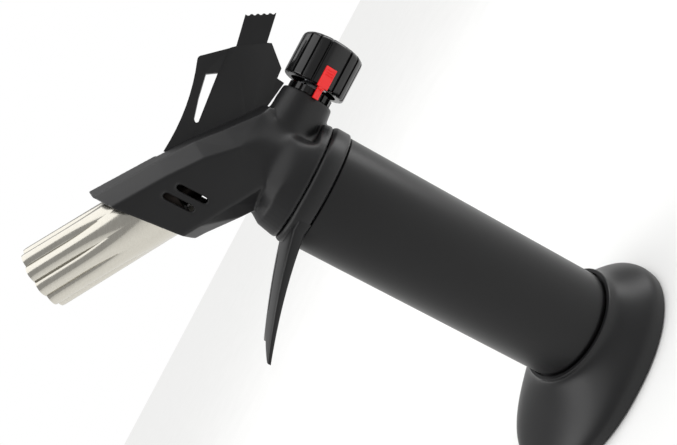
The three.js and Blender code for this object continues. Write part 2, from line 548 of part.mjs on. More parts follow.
const ELECTRODE_OFF = 6.4;    // from the burner's axis to the electrode and the disc's holes
const discHoles = Array.from({ length: 6 }, (_, i) => {
  const a = (2 * Math.PI * i) / 6;
  return rod(1.4, DISC_S - 2, DISC_S + 5, 8)
    .translate(ELECTRODE_OFF * Math.cos(a), ELECTRODE_OFF * Math.sin(a), 0);
});
piece('flame_disc', alongBurner(cut(rod(NOZZLE_R - NOZZLE_WALL - GAP, DISC_S, DISC_S + 3, 40),
  rod(4.4 + GAP, DISC_S - 1, DISC_S + 4, 20), ...discHoles)), blackened);
const MIX_START = 6;
const airHoles = [0, Math.PI / 2].map(turn =>
  alongY(rod(1.3, -8, 8, 10)).rotateZ(turn).translate(0, 0, MIX_START + 4.5));
piece('mixing_tube', alongBurner(cut(tube(3.4, 4.4, MIX_START, DISC_S + 6, 24), ...airHoles)),
  blackened);
const onElectrode = g => g.translate(-ELECTRODE_OFF, 0, 0);
piece('nozzle_socket', alongBurner(cut(turned([
  [4.4 + GAP, NOZZLE_START - 1.1], [NOZZLE_R + 1.1, NOZZLE_START - 1.1],
  [NOZZLE_R + 1.1, NOZZLE_START + 3], [NOZZLE_R + GAP, NOZZLE_START + 3],
  [NOZZLE_R + GAP, NOZZLE_START - GAP], [4.4 + GAP, NOZZLE_START - GAP],
], 36), onElectrode(rod(1.8, NOZZLE_START - 3, NOZZLE_START + 1, 12)))), blackened);
piece('gas_jet', alongBurner(turned([
  [0.3, MIX_START - 5], [2.2, MIX_START - 5], [2.2, MIX_START - 1], [3.1, MIX_START - 1],
  [3.1, MIX_START + 2.2], [1.2, MIX_START + 3.6], [0.3, MIX_START + 3.6],
], 16)), brass);
const along = points => new THREE.CatmullRomCurve3(points.map(p => new THREE.Vector3(...p)));
piece('electrode_insulator', alongBurner(onElectrode(
  tube(0.75, 1.5, NOZZLE_START - 4, DISC_S - GAP, 12))), ceramic);
piece('electrode', alongBurner(swept(along([[-ELECTRODE_OFF, 0, NOZZLE_START - 4],
  [-ELECTRODE_OFF, 0, DISC_S + 1], [-ELECTRODE_OFF, 0, DISC_S + 6],
  [-ELECTRODE_OFF + 3, 0, DISC_S + 9]]), 0.45, 14, 8)), steel);
const leadEnd = onBurner(NOZZLE_START - 4.6, -ELECTRODE_OFF);
piece('ignition_lead', swept(along([[1.5, 0, KNOB_Z], [-2, -4, KNOB_Z - 0.6], [-10, -7, KNOB_Z + 4],
  [-18, -5, leadEnd[1] - 4], [leadEnd[0], 0, leadEnd[1]]]), 0.7, 24, 8), darkRubber);
const lineStart = onBurner(MIX_START - 5.4, 0);
piece('gas_line', swept(along([[lineStart[0], 0, lineStart[1]], [2.4, 1, lineStart[1] - 1.9],
  [3.5, 6.5, KNOB_Z + 3], [0, 9, KNOB_Z - 3], [-3.5, 7, ROCKER_Z + 6], [-4.6, 2.6, ROCKER_Z + 0.5],
  [-4.6, 1.8, outletTop + 1.2]]), 0.9, 30, 8), brass);

// ---------------------------------------------------------------- press knob and igniter
const PIEZO_START = 2;
const PIEZO_END = HEAD_BACK - 2.6;
const PIEZO_R = 5;
const boreStart = PIEZO_START + 4;
piece('piezo_igniter', alongKnob(turned([[0, PIEZO_START], [2.2, PIEZO_START],
  [2.2, PIEZO_START + 1.5], [PIEZO_R, PIEZO_START + 1.5], [PIEZO_R, PIEZO_END],
  [SHAFT_R + 0.2, PIEZO_END], [SHAFT_R + 0.2, boreStart], [0, boreStart]], 24)), greyPlastic);
const hammerStart = boreStart + PRESS_TRAVEL + GAP;
const shaftStart = hammerStart + 3;
piece('piezo_hammer', alongKnob(rod(2.5, hammerStart, shaftStart - GAP, 16)), steel);
// The shaft's collar carries an arm that runs forward under the igniter to the valve rocker.
const collarX = PIEZO_END + PRESS_TRAVEL + 0.5;
const COLLAR_R = STUB_R_END - HEAD_WALL - 0.5;
const armTop = -PIEZO_R - GAP;
const armEnd = ROCKER_X + 1.3;
piece('press_shaft', alongKnob(toGeometry(union(
  turned([[0, shaftStart], [2.6, shaftStart], [2.6, collarX], [COLLAR_R, collarX],
    [COLLAR_R, collarX + 1.5], [SHAFT_R - 0.1, collarX + 1.5], [SHAFT_R - 0.1, KNOB_END - 3],
    [0, KNOB_END - 3]], 24),
  box(-armTop, COLLAR_R - 0.1, -1.5, 1.5, armEnd, collarX + 1),
))), greyPlastic);
piece('knob_spring', alongKnob(spring(4.3, 0.4, STUB_END + GAP, KNOB_START + 5.7, 4)), steel);
const DETENT_TEETH = 14;
const ringEnd = STUB_END + 2.6;
const detentTeeth = Array.from({ length: DETENT_TEETH }, (_, i) =>
  box(6.6, 7.9, -0.75, 0.75, STUB_END + GAP, ringEnd).rotateZ((2 * Math.PI * i) / DETENT_TEETH));
piece('detent_ring', alongKnob(cut(union(rod(7, STUB_END + GAP, ringEnd, 32), ...detentTeeth),
  rod(5.2, STUB_END - 1, ringEnd + 1, 24))), glossBlack);

// The knob is round, with ribs between narrow grooves; two rib widths are left plain for the
// panel that carries the lock. Its front is hollow, over the detent ring and the spring.
const knobBody = turned([[0, KNOB_START], [KNOB_R - 0.5, KNOB_START], [KNOB_R, KNOB_START + 0.6],
  [KNOB_R, KNOB_END - 2.2], [KNOB_R - 0.6, KNOB_END - 0.9], [KNOB_R - 2, KNOB_END - 0.2],
  [0, KNOB_END + 0.6]], 72);
// Turned on the knob's axis, the drawn X points down and the drawn Y stays.
const panelTurn = THREE.MathUtils.degToRad(KNOB_PANEL - 90);
const onPanel = g => g.rotateZ(panelTurn);
const knobGrooves = Array.from({ length: 360 / KNOB_PITCH - 1 }, (_, i) =>
  onPanel(box(KNOB_R - 0.8, KNOB_R + 1, -0.4, 0.4, KNOB_START - 1, KNOB_END + 2)
    .rotateZ(THREE.MathUtils.degToRad((i + 1) * KNOB_PITCH))));
const lockSlotEnd = KNOB_START + 3.4 + LOCK_TRAVEL;
const tongueHalf = LOCK_TONGUE / 2;
const lockSlot = onPanel(box(8, KNOB_R + 1, -tongueHalf - GAP, tongueHalf + GAP, KNOB_START - 1,
  lockSlotEnd));
piece('knob', alongKnob(cut(knobBody, ...knobGrooves, lockSlot,
  rod(8.5, KNOB_START - 1, KNOB_START + 6, 36),
  rod(SHAFT_R + 0.05, KNOB_START, KNOB_END - 3 + GAP, 24))), glossBlack);

// The lock lies on the panel with a foot in its slot; its tongue bridges the gap to the stub.
const lockBase = KNOB_R + 0.15;
const lockTop = lockBase + 1;
const lockEnd = lockSlotEnd + 0.6;
const lockGrips = [0, 1, 2].map(i =>
  box(lockTop - 0.3, lockTop + 1, -LOCK_WIDTH / 2 + 0.5, LOCK_WIDTH / 2 - 0.5,
    lockEnd - 1.4 - i * 0.8, lockEnd - 1 - i * 0.8));
piece('lock_slider', alongKnob(onPanel(cut(union(
  box(lockBase, lockTop, -LOCK_WIDTH / 2, LOCK_WIDTH / 2, KNOB_START - 0.6, lockEnd),
  box(9.8, lockBase + 0.1, -tongueHalf, tongueHalf, KNOB_START - 0.6, KNOB_START + 3),
  box(9.8, 11, -tongueHalf, tongueHalf, STUB_END - 0.6, KNOB_START - 0.5),
  box(9.8, lockTop - 0.2, -tongueHalf, tongueHalf, KNOB_START - 1.2, KNOB_START - 0.5),
), ...lockGrips))), redPlastic);

// ---------------------------------------------------------------- valve rocker
piece('rocker_pin', alongY(rod(ROCKER_PIN_R, -CORE_R + 1.2, CORE_R - 1.2, 16))
  .translate(ROCKER_X, 0, ROCKER_Z), steel);
const upright = prism([[ROCKER_X - 1.2, -1.5], [ROCKER_X + 1, -1.5], [ROCKER_X + 1, 1.5],
  [ROCKER_X - 1.2, 1.5]], ROCKER_Z, KNOB_Z + armTop - 0.1 + 0.3);
const rocker = union(upright, alongY(rod(2.4, -1.5, 1.5, 20)).translate(ROCKER_X, 0, ROCKER_Z),
  box(-0.8, ROCKER_X, -1.5, 1.5, stemHead + 1.6, ROCKER_Z + 1.2));
piece('valve_rocker', cut(rocker, alongY(rod(ROCKER_PIN_R + 0.1, -3, 3, 16))
  .translate(ROCKER_X, 0, ROCKER_Z)), steel);

// ---------------------------------------------------------------- hold-on lever
const crestZ = x => BURNER_Z + (hoodStations[1].crest + 0.15) / Math.cos(TILT)
  - x * Math.tan(TILT) - x * 0.11;
const stubTop = x => KNOB_Z + THREE.MathUtils.mapLinear(x, HEAD_BACK, STUB_END, STUB_R_ROOT,
  STUB_R_END);
// The outline is drawn from the pivot: up the front edge, along the top, round the thumb tab, and
// back under the plate, where it clears the stub and the knob at the end of its press.
const from = (x, z) => [LEVER_X + x, LEVER_Z + z];
const lever = new THREE.Shape();
lever.moveTo(...from(-19, 17.9));
lever.quadraticCurveTo(...from(-2, 16.6), ...from(13, 22.1));
lever.quadraticCurveTo(...from(14.3, 22.5), ...from(15, 21.5));
lever.lineTo(...from(23.2, 13.1));
const TAB_SCALLOPS = 5;
const SCALLOP = new THREE.Vector2(-0.75, -0.5);
const tabStart = new THREE.Vector2(...from(34, 15.3));
const tabEnd = new THREE.Vector2(...from(39.6, 6.7));
lever.lineTo(tabStart.x, tabStart.y);
for (let i = 0; i < TAB_SCALLOPS; i += 1) {
  const start = tabStart.clone().lerp(tabEnd, (i + 0.15) / TAB_SCALLOPS);
  const end = tabStart.clone().lerp(tabEnd, (i + 0.85) / TAB_SCALLOPS);
  const dip = start.clone().lerp(end, 0.5).add(SCALLOP);
  if (i) lever.lineTo(start.x, start.y);
  lever.quadraticCurveTo(dip.x, dip.y, end.x, end.y);
}
lever.lineTo(tabEnd.x, tabEnd.y);
lever.lineTo(...from(29.3, 4.8));
lever.lineTo(...from(30, 3.3));
const pressedX = KNOB_START - PRESS_TRAVEL - LEVER_CLEARANCE;
const overKnob = KNOB_Z + KNOB_R + 2 * LEVER_CLEARANCE;
lever.lineTo(LEVER_X + 24.2, overKnob + 0.3);
lever.lineTo(pressedX, overKnob);
lever.lineTo(pressedX - 0.2, stubTop(STUB_END) + LEVER_CLEARANCE);
lever.lineTo(HEAD_BACK, stubTop(HEAD_BACK) + LEVER_CLEARANCE);
lever.lineTo(...from(6, -5.1));
lever.lineTo(...from(3.2, -2));
lever.absarc(...from(0, 0), 3.4, -0.5, -Math.PI + 0.4, true);
lever.lineTo(-2, crestZ(-2) - 1.6);
lever.lineTo(-12.6, crestZ(-12.6) - 1.2);
lever.closePath();
const leverSlotHole = new THREE.Path();
leverSlotHole.moveTo(...from(10.3, 17.6));
leverSlotHole.lineTo(...from(2, 16));
leverSlotHole.lineTo(...from(-4.6, 14.2));
leverSlotHole.quadraticCurveTo(...from(-6.2, 13), ...from(-4.8, 12.4));
leverSlotHole.lineTo(...from(12.6, 14.3));
lever.holes.push(leverSlotHole);
const leverPlate = thickness => new THREE.ExtrudeGeometry(lever, {
  depth: thickness, bevelEnabled: false, curveSegments: 8,
}).rotateX(Math.PI / 2).translate(0, thickness / 2, 0);
// The main plate is thicker than the strip above its fold line and the tab behind it.
const beyond = ([x0, z0], [x1, z1]) => box(0, 60, -5, 5, 0, 60)
  .translate(-20, 0, 0).rotateY(-Math.atan2(z1 - z0, x1 - x0)).translate(x0, 0, z0);
const mainPlate = cut(leverPlate(LEVER_THICKNESS), beyond(from(-9, 11.6), from(21.7, 14.6)),
  beyond(from(23.2, 13.1), from(29.3, 4.8)));
piece('hold_lever', cut(union(leverPlate(LEVER_STRIP), mainPlate),
  alongY(rod(LEVER_PIN_R + 0.08, -4, 4, 20)).translate(LEVER_X, 0, LEVER_Z)), satinBlack);
piece('lever_pin', alongY(rod(LEVER_PIN_R, -leverGap - 2.3, leverGap + 2.3, 20))
  .translate(LEVER_X, 0, LEVER_Z), steel);

const group = new THREE.Group();
const torch = new THREE.Group();
torch.position.x = -FOOT_CENTRE;
torch.add(...pieces);
group.add(torch);
export default group;
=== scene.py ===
# %% [markdown]
# # A butane torch
# The torch stands upright on its oval foot: tank, finger guard, moulded head, fluted burner tube,
# press knob with a red lock, and a thin lever on top. This notebook builds the visible skins
# round a finished working model. The model gives the main sizes, so each cell measures a working
# part and then draws a finer skin at the same place; fillets, walls and other details are given
# beside it. Lengths are millimetres until a mesh is made, and then they turn to metres.

import json
import math

import bmesh
import bpy
import numpy as np
from mathutils import Matrix, Vector


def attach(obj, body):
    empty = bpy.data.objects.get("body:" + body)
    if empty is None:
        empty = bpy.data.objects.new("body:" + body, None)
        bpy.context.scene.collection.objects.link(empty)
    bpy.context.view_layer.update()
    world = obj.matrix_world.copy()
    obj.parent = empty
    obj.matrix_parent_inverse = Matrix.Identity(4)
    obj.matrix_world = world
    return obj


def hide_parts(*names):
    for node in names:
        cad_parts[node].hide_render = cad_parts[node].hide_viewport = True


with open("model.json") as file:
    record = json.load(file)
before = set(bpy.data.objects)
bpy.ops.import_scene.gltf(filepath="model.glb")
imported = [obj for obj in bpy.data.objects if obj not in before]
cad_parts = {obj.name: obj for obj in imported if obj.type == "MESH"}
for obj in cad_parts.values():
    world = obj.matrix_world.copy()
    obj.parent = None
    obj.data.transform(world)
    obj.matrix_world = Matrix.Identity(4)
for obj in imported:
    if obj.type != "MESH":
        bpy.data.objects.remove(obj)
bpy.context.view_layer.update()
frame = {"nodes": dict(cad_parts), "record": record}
MM = 0.001

# %% [markdown]
# ## Measuring
# A torch has three directions that matter: up the tank, along the burner and along the knob. A
# part's extent along any of them is the span of its points' dot products with that direction.

# %% Directions and a ruler
BURNER_TILT = math.radians(30)
UP = np.array([0.0, 0.0, 1.0])
ACROSS = np.array([0.0, 1.0, 0.0])
KNOB_WAY = np.array([1.0, 0.0, 0.0])
BURNER_WAY = np.array([-math.cos(BURNER_TILT), 0.0, math.sin(BURNER_TILT)])
BURNER_UP = np.array([math.sin(BURNER_TILT), 0.0, math.cos(BURNER_TILT)])


def points_of(node):
    """All the vertices of a working part, as rows of millimetres."""
    mesh = frame["nodes"][node].data
    flat = np.empty(len(mesh.vertices) * 3, np.float32)
    mesh.vertices.foreach_get("co", flat)
    return flat.reshape(-1, 3).astype(float) / MM


def span(node, direction):
    """The lowest and highest reach of a working part along a direction, in millimetres."""
    reach = points_of(node) @ direction
    return reach.min(), reach.max()


tank_low, tank_high = span("tank_sleeve", UP)
tank_left, tank_right = span("tank_sleeve", KNOB_WAY)
TANK_R = (tank_right - tank_left) / 2
TANK_X = (tank_right + tank_left) / 2
print(f"tank radius {TANK_R:.1f} mm, length {tank_high - tank_low:.1f} mm, x = {TANK_X:.1f} mm")

# %% [markdown]
# ## Surfaces from two numbers
# Every new skin is a function of two parameters on a grid. One helper evaluates the function on
# whole arrays, numbers the corners of the quads with array arithmetic, and welds rows that shrink
# to a point. A grid can wrap in either direction, so a tube's wall closes into a ring.

# %% The surface helper
WELD = 0.002                           # points closer than this become one


def linked(name, data):
    """A new object round a mesh, light or camera, put into the scene."""
    thing = bpy.data.objects.new(name, data)
    bpy.context.scene.collection.objects.link(thing)
    return thing


def finish_mesh(mesh, sharp_degrees):
    """Welds doubles, caps open ends, turns faces outwards and keeps sharper edges crisp."""
    shell = bmesh.new()
    shell.from_mesh(mesh)
    bmesh.ops.remove_doubles(shell, verts=shell.verts, dist=WELD * MM)
    bmesh.ops.dissolve_degenerate(shell, dist=WELD / 2 * MM, edges=shell.edges)
    bmesh.ops.holes_fill(shell, edges=[e for e in shell.edges if e.is_boundary], sides=0)
    bmesh.ops.recalc_face_normals(shell, faces=shell.faces)
    shell.to_mesh(mesh)
    shell.free()
    mesh.shade_smooth()
    mesh.set_sharp_from_angle(angle=math.radians(sharp_degrees))


def surface(name, formula, u, v, wrap_u=True, wrap_v=False, sharp_degrees=35):
    """A piece whose points are formula(U, V) -> X, Y, Z in millimetres, on a grid of u by v."""
    grid_u, grid_v = np.meshgrid(u, v, indexing="ij")
    xyz = np.stack(np.broadcast_arrays(*formula(grid_u, grid_v)), axis=-1) * MM
    rows, columns = grid_u.shape
    index = np.arange(rows * columns).reshape(rows, columns)
    across = np.roll(index, -1, axis=0) if wrap_u else index[1:]
    here = index if wrap_u else index[:-1]
    if wrap_v:
        quads = np.stack([here, across, np.roll(across, -1, 1), np.roll(here, -1, 1)], axis=-1)
    else:
        quads = np.stack([here[:, :-1], across[:, :-1], across[:, 1:], here[:, 1:]], axis=-1)
    quads = quads.reshape(-1, 4)
    mesh = bpy.data.meshes.new(name)
    mesh.vertices.add(rows * columns)
    mesh.vertices.foreach_set("co", xyz.reshape(-1).astype(np.float32))
    mesh.loops.add(quads.size)
    mesh.loops.foreach_set("vertex_index", quads.reshape(-1).astype(np.int32))
    mesh.polygons.add(len(quads))
    mesh.polygons.foreach_set("loop_start", np.arange(0, quads.size, 4, dtype=np.int32))
    mesh.update(calc_edges=True)
    finish_mesh(mesh, sharp_degrees)
    return linked(name, mesh)


def applied(piece):
    """The mesh that a piece shows once its modifiers have run; the modifiers are then removed."""
    shaped = bpy.data.meshes.new_from_object(
        piece.evaluated_get(bpy.context.evaluated_depsgraph_get()))
    piece.modifiers.clear()
    return shaped


def turns(count):
    """Evenly spaced angles round a full turn."""
    return np.linspace(0, 2 * np.pi, count, endpoint=False)


print("surface helpers ready")

# %% [markdown]
# ## Rounding a working part
# The lever and the lock have the right shape already, but a moulded edge is never
# knife sharp, and a rounded edge is what catches the light. A copy is welded, and a Bevel modifier
# with an angle limit rounds its corners and leaves its flat faces alone.

# %% The rounding helper
CORNER_LIMIT = math.radians(28)        # a flatter edge than this is part of a curve


def rounded_copy(node, name, radius, segments=3):
    """A welded copy of a working part with its corners rounded to a radius in millimetres."""
    mesh = frame["nodes"][node].data.copy()
    mesh.name = name
    mesh.materials.clear()
    shell = bmesh.new()
    shell.from_mesh(mesh)
    bmesh.ops.remove_doubles(shell, verts=shell.verts, dist=2 * WELD * MM)
    shell.to_mesh(mesh)
    shell.free()
    mesh.shade_smooth()
    mesh.set_sharp_from_angle(angle=CORNER_LIMIT)
    piece = linked(name, mesh)
    bevel = piece.modifiers.new("rounded corners", "BEVEL")
    bevel.width = radius * MM
    bevel.segments = segments
    bevel.limit_method = "ANGLE"
    bevel.angle_limit = CORNER_LIMIT
    bevel.miter_outer = "MITER_ARC"
    bevel.use_clamp_overlap = True
    bevel.harden_normals = True
    return piece


print("rounding helper ready")

# %% [markdown]
# ## Colours and shader nodes
# Colours are written as the hex values a designer would quote, in sRGB. A shader works in linear
# light, so one function converts them. Another adds a node, sets its sockets and joins its links.
# A pattern's scale comes from a real size: Object coordinates are metres, so a grain g millimetres
# wide repeats 1000 / g times in one unit.

# %% Colour, grain and node helpers
CLOUD = 40                             # how many times wider the broad cloud is than the grain


def linear(hex_colour):
    """An sRGB hex value as linear red, green, blue and alpha."""
    channels = [int(hex_colour[i:i + 2], 16) / 255 for i in (1, 3, 5)]
    return [c / 12.92 if c <= 0.04045 else ((c + 0.055) / 1.055) ** 2.4 for c in channels] + [1.0]


def per_unit(grain):
    """How many grains of that many millimetres fit in one metre."""
    return 1 / (grain * MM)


def add(tree, kind, sockets=None, links=None, **settings):
    """One shader node: its properties, its socket values, and links as socket: (node, output)."""
    made = tree.nodes.new(kind)
    for name, value in settings.items():
        setattr(made, name, value)
    for name, value in (sockets or {}).items():
        made.inputs[name].default_value = value
    for name, (source, output) in (links or {}).items():
        tree.links.new(source.outputs[output], made.inputs[name])
    return made


def new_material(name, metallic=0.0, roughness=0.5, **sockets):
    """A Principled material with its constant sockets set, as material, tree and shader."""
    material = bpy.data.materials.new(name)
    material.use_nodes = True
    tree = material.node_tree
    shader = tree.nodes["Principled BSDF"]
    shader.inputs["Metallic"].default_value = metallic
    shader.inputs["Roughness"].default_value = roughness
    shader.inputs["Base Color"].default_value = linear("#808080")
    for socket, value in sockets.items():
        shader.inputs[socket.replace("_", " ")].default_value = value
    return material, tree, shader


def wear(tree, shader, dark, light, bump_height, roughness_range, cloud, fine):
    """Colour and gloss follow one noise, and relief follows another."""
    tint = add(tree, "ShaderNodeMix", links={"Factor": (cloud, "Fac")}, data_type="RGBA")
    tint.inputs["A"].default_value = linear(dark)
    tint.inputs["B"].default_value = linear(light)
    tree.links.new(tint.outputs["Result"], shader.inputs["Base Color"])
    smoothest, roughest = roughness_range
    gloss = add(tree, "ShaderNodeMapRange", {"To Min": smoothest, "To Max": roughest},
                {"Value": (cloud, "Fac")})
    tree.links.new(gloss.outputs["Result"], shader.inputs["Roughness"])
    relief = add(tree, "ShaderNodeBump", {"Strength": 1.0, "Distance": bump_height * MM},
                 {"Height": (fine, "Fac")})
    tree.links.new(relief.outputs["Normal"], shader.inputs["Normal"])


def mottle(tree, shader, dark, light, grain, bump_height, roughness_range):
    """A broad cloud for colour and gloss, and a fine grain for relief."""
    place = add(tree, "ShaderNodeTexCoord")
    fine = add(tree, "ShaderNodeTexNoise", {"Scale": per_unit(grain), "Detail": 3.0},
               {"Vector": (place, "Object")})
    cloud = add(tree, "ShaderNodeTexNoise", {"Scale": per_unit(grain * CLOUD), "Detail": 2.0},
                {"Vector": (place, "Object")})
    wear(tree, shader, dark, light, bump_height, roughness_range, cloud, fine)


print("mid grey #808080 is", round(linear("#808080")[0], 3), "in linear light")

# %% [markdown]
# ## Plastics
# The head, guard, foot and lever are ABS moulded in a spark-eroded steel tool. The tool leaves an
# even grain about 0.05 mm wide, which scatters a highlight into a soft satin sheen. That is too
# fine to see at this distance, so it is drawn about 0.35 mm wide and very shallow. The knob comes
# from a polished tool, so it mirrors the lights. Plastic's refractive index is close to 1.5.

# %% Satin, gloss and red ABS, acetal
ABS_IOR = 1.54
GRAIN = 0.35

satin_abs, tree, shader = new_material("satin_moulded_abs", IOR=ABS_IOR, Specular_IOR_Level=0.3)
mottle(tree, shader, "#161617", "#1c1c1d", GRAIN, 0.012, (0.34, 0.44))

gloss_abs, tree, shader = new_material("polished_black_abs", IOR=ABS_IOR, Specular_IOR_Level=0.4)
mottle(tree, shader, "#0b0b0c", "#101011", GRAIN, 0.003, (0.14, 0.22))

red_abs, tree, shader = new_material("red_moulded_abs", IOR=ABS_IOR)
mottle(tree, shader, "#fb1212", "#ff2020", GRAIN, 0.004, (0.28, 0.36))

acetal, tree, shader = new_material("natural_acetal", IOR=1.48)
mottle(tree, shader, "#85888b", "#94979a", GRAIN, 0.006, (0.42, 0.55))
print("plastics:", satin_abs.name, gloss_abs.name, red_abs.name, acetal.name)

# %% [markdown]
# ## The tank's coating and the rubber
# The tank is a drawn aluminium sleeve with a soft-touch black coating. The coating is a dielectric
# film, so it is not metallic, and a low specular level keeps it as dull as soft-touch paint.
# Rubber is duller, and takes a coarser grain from its mould.

# %% Soft-touch coating and rubber
RUBBER_GRAIN = 0.5
tank_coat, tree, shader = new_material("soft_touch_coating", IOR=1.5, Specular_IOR_Level=0.3)
mottle(tree, shader, "#121213", "#161617", GRAIN, 0.006, (0.34, 0.40))

rubber, tree, shader = new_material("moulded_rubber", IOR=1.52, Specular_IOR_Level=0.3)
mottle(tree, shader, "#161616", "#1f1f1f", RUBBER_GRAIN, 0.03, (0.72, 0.88))
print("coatings:", tank_coat.name, rubber.name)

# %% [markdown]
# ## Metals
# A metal's colour is its reflection, so Metallic is 1 and the refractive index stays as it is.
# The burner tube is polished stainless steel, slightly warm. Drawing it through a die leaves faint
# lines along the tube: a noise stretched along the burner's axis. Screws and springs are zinc
# plated, and valves are turned brass, with tool marks finer than the picture shows.

# %% Stainless, zinc plate, brass and glazed ceramic
DRAW_STRETCH = 0.06                    # the noise's scale along the tube, so its lines run long
DRAW_GRAIN = 0.4
METAL_GRAIN = 0.3

stainless, tree, shader = new_material("polished_stainless", metallic=1.0)
place = add(tree, "ShaderNodeTexCoord")
turned = add(tree, "ShaderNodeMapping", {"Rotation": (0.0, math.pi / 2 + BURNER_TILT, 0.0)},
             {"Vector": (place, "Object")})
drawn = add(tree, "ShaderNodeMapping", {"Scale": (1.0, 1.0, DRAW_STRETCH)},
            {"Vector": (turned, "Vector")})
lines = add(tree, "ShaderNodeTexNoise", {"Scale": per_unit(DRAW_GRAIN), "Detail": 4.0},
            {"Vector": (drawn, "Vector")})
wear(tree, shader, "#b9b5ab", "#cbc8bf", 0.004, (0.14, 0.24), lines, lines)

zinc, tree, shader = new_material("zinc_plated_steel", metallic=1.0)
mottle(tree, shader, "#a9adb2", "#c3c6ca", METAL_GRAIN, 0.003, (0.26, 0.38))

brass, tree, shader = new_material("turned_brass", metallic=1.0)
mottle(tree, shader, "#b8964e", "#cfae66", METAL_GRAIN, 0.003, (0.22, 0.34))

blackened, tree, shader = new_material("heat_blackened_steel", metallic=1.0)
mottle(tree, shader, "#2b2725", "#3a3532", METAL_GRAIN, 0.004, (0.45, 0.6))

alumina, tree, shader = new_material("glazed_alumina", IOR=1.76)
mottle(tree, shader, "#e6e0d4", "#f2eee4", GRAIN, 0.004, (0.2, 0.3))
print("metals and ceramic:", stainless.name, zinc.name, brass.name, alumina.name)

# %% [markdown]
# ## A finish for every working part
# The working model lists a material slot for each part. Inner parts keep their working shape, so
# one loop gives each of them the finish that its slot names.

# %% Hand out the finishes
FINISHES = {
    "satin_black_plastic": satin_abs,
    "gloss_black_plastic": gloss_abs,
    "tank_black": tank_coat,
    "black_rubber": rubber,
    "stainless": stainless,
    "steel": zinc,
    "brass": brass,
    "blackened_steel": blackened,
    "grey_plastic": acetal,
    "red_plastic": red_abs,
    "ceramic": alumina,
}
slot_of = {row["node"]: row["material_slot"] for row in frame["record"]["subparts"]}
for node, part in frame["nodes"].items():
    part.data.materials.clear()
    part.data.materials.append(FINISHES[slot_of[node]])
print("finishes handed to", len(frame["nodes"]), "working parts")

# %% [markdown]
# ## Cutting, joining and settling
# A Boolean adds or takes away a tool's shape. Settling is the last thing done to a skin: it gets
# its finish, rides on the body that carries it and stands for its working part.

# %% The Boolean and settling helpers


def combine(piece, tool, operation):
    """Joins or cuts with a Boolean that is applied at once, and removes the tool."""
    step = piece.modifiers.new(operation.lower(), "BOOLEAN")
    step.operation = operation
    step.solver = "EXACT"
    step.object = tool
    piece.data = applied(piece)
    bpy.data.objects.remove(tool)


def settle(piece, body, *nodes):
    """Gives a skin its finish, lets it ride on a body, and lets it stand for its working parts."""
    slot = slot_of[nodes[0]]
    piece.data.materials.append(FINISHES[slot])
    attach(piece, body)
    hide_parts(*nodes)
    print(piece.name, "rides on", body, "with", len(piece.data.polygons), "faces")


print("Boolean and settling helpers ready")

# %% [markdown]
# ## The tank sleeve
# A drawn cup: a straight cylinder with a rounded lower corner and a hole in its base. It is one
# profile carried round the tank's axis, out along the wall and back inside it.

# %% Turn the sleeve
TURN_STEPS = 160
SLEEVE_FILLET = 3.2
SLEEVE_WALL = 0.8
SLEEVE_LIP = 0.4
FILL_HOLE_R = 8.0


def turned_about_tank(profile):
    """A formula: the profile's radius goes round the tank's axis, and its height stays."""
    radius, height = profile

    def formula(angle, step):
        r, z = radius[step.astype(int)], height[step.astype(int)]
        return TANK_X + r * np.cos(angle), r * np.sin(angle), z
    return formula


def sleeve_profile():
    """Outer wall down, round the fillet, in along the base, and back up inside the wall."""
    swing = np.linspace(0, np.pi / 2, 12)
    centre_r, centre_z = TANK_R - SLEEVE_FILLET, tank_low + SLEEVE_FILLET
    inner = SLEEVE_FILLET - SLEEVE_WALL
    radius = np.concatenate([[TANK_R - SLEEVE_LIP, TANK_R],
                             centre_r + SLEEVE_FILLET * np.cos(swing),
                             [FILL_HOLE_R, FILL_HOLE_R],
                             centre_r + inner * np.cos(swing[::-1]), [TANK_R - SLEEVE_WALL]])
    height = np.concatenate([[tank_high, tank_high - SLEEVE_LIP],
                             centre_z - SLEEVE_FILLET * np.sin(swing),
                             [tank_low, tank_low + SLEEVE_WALL],
                             centre_z - inner * np.sin(swing[::-1]), [tank_high]])
    return radius, height


profile = sleeve_profile()
sleeve = surface("sleeve_skin", turned_about_tank(profile), turns(TURN_STEPS),
                 np.arange(len(profile[0])), wrap_v=True)
settle(sleeve, "body", "tank_sleeve")

# %% [markdown]
# ## The flared foot
# The foot is round where it grips the tank and a long oval where it meets the bench. One formula
# covers both: a superellipse whose half length, half width and centre all slide by the same share,
# from 0 at the neck to 1 at the widest line. A smooth step between the two heights gives the
# bell-shaped flare, and the same surface runs on under the rim and up inside the hollow.

# %% Sweep the foot
foot_low, foot_high = span("base", UP)
foot_back = span("base", KNOB_WAY)[1]
foot_front = span("base", KNOB_WAY)[0]
FOOT_HALF_LENGTH = (foot_back - foot_front) / 2
FOOT_HALF_WIDTH = span("base", ACROSS)[1]
FOOT_CENTRE = (foot_back + foot_front) / 2
NECK_R = TANK_R + 1.9
NECK_CLEARANCE = 0.5
FOOT_WALL = 2.2
FLARE_TOP, FLARE_RUN = 0.95, 0.78      # shares of the height: the flare's start and its run
RIM_LINE = 0.17                        # share of the height where the foot is widest
RIM_TUCK = 0.035                       # how much share the rim loses below that line
FLOOR_BASE, FLOOR_TOP = 4.2, 2.0       # the floor under the tank, down from the neck's lip
NECK_CHAMFER = 0.25
PORT_R = FILL_HOLE_R + 1.4             # outside of the wall round the fill port
PORT_LIFT = 1.7                        # from the bench to the end of that wall


def flare(height):
    """The flare's share at a height from 0 to 1: a smooth step, tucked in below the rim line."""
    t = np.clip((FLARE_TOP - height) / FLARE_RUN, 0, 1)
    tuck = np.clip((RIM_LINE - height) / RIM_LINE, 0, 1)
    return t * t * (3 - 2 * t) - RIM_TUCK * tuck ** 2


